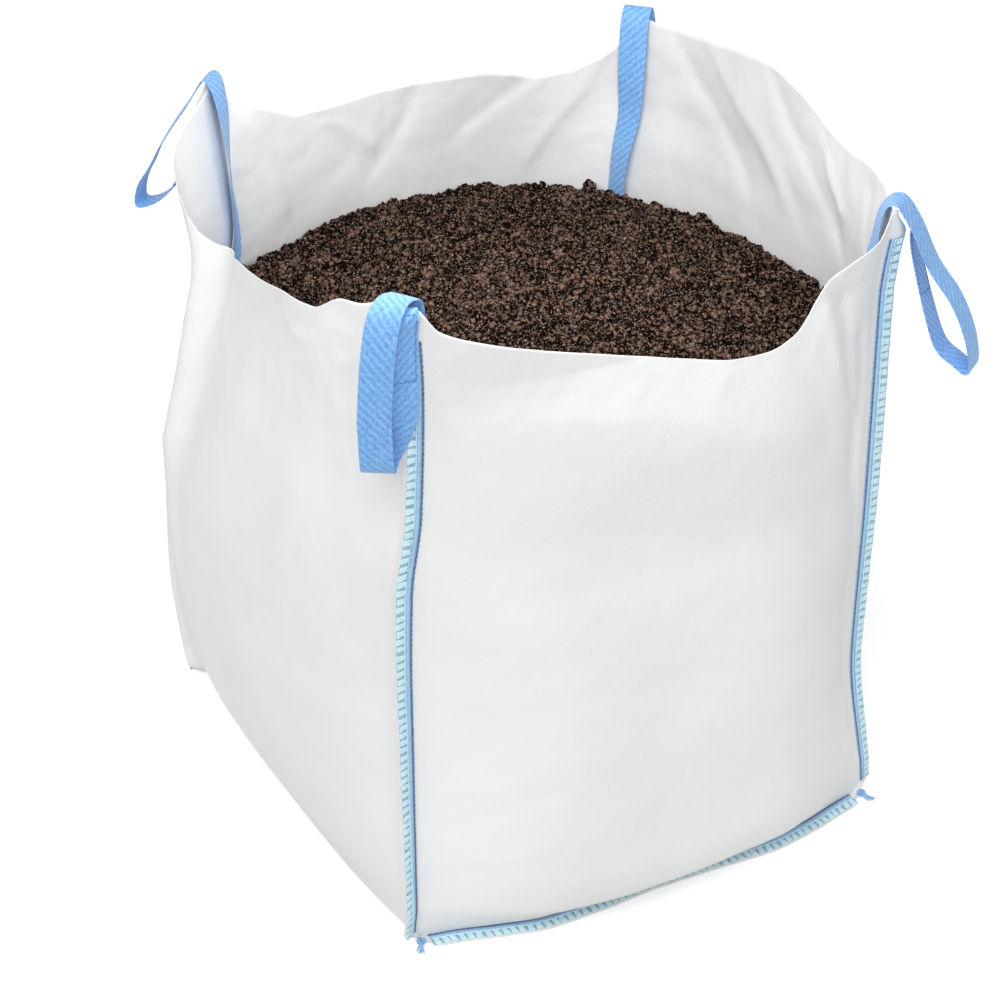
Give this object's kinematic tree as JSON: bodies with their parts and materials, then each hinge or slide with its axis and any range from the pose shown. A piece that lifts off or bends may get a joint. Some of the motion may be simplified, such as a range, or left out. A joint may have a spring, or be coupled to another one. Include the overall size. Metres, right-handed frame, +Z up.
{
  "type": "bulk bag of compost",
  "caption": "Open woven bulk bag full of compost, standing on its flat base, with a webbing lift loop folded over each corner of the rim.",
  "frame": {"origin": "centre of the base, on the floor", "axes": "+Z up out of the mouth; -Y is the way the front panel faces; -X is the way the left side of the folded panel faces"},
  "size_m": [1.0732, 1.1411, 1.1587],
  "materials": {
    "sheet": "woven plastic tape sheet, off-white, slight sheen",
    "compost": "loose damp dark brown crumbs",
    "webbing": "mid blue woven strap",
    "thread": "dark blue sewing thread",
    "seam_tape": "pale blue filler strip in the seam",
    "overlock": "pale blue overlock thread"
  },
  "bodies": {
    "root": {"u_panel": "sheet", "front_panel": "sheet", "back_panel": "sheet", "compost": "compost", "lift_loop_front_left": "webbing", "lift_loop_front_right": "webbing", "lift_loop_back_right": "webbing", "lift_loop_back_left": "webbing", "front_left_chain_stitch": "thread", "front_bottom_chain_stitch": "thread", "front_right_chain_stitch": "thread", "back_left_chain_stitch": "thread", "back_bottom_chain_stitch": "thread", "back_right_chain_stitch": "thread", "front_left_seam_tape": "seam_tape", "front_bottom_seam_tape": "seam_tape", "front_right_seam_tape": "seam_tape", "back_left_seam_tape": "seam_tape", "back_bottom_seam_tape": "seam_tape", "back_right_seam_tape": "seam_tape", "front_left_overlock": "overlock", "front_bottom_overlock": "overlock", "front_right_overlock": "overlock", "back_left_overlock": "overlock", "back_bottom_overlock": "overlock", "back_right_overlock": "overlock", "thread_knot_front_left": "overlock", "thread_knot_front_right": "overlock"}
  },
  "joints": []
}
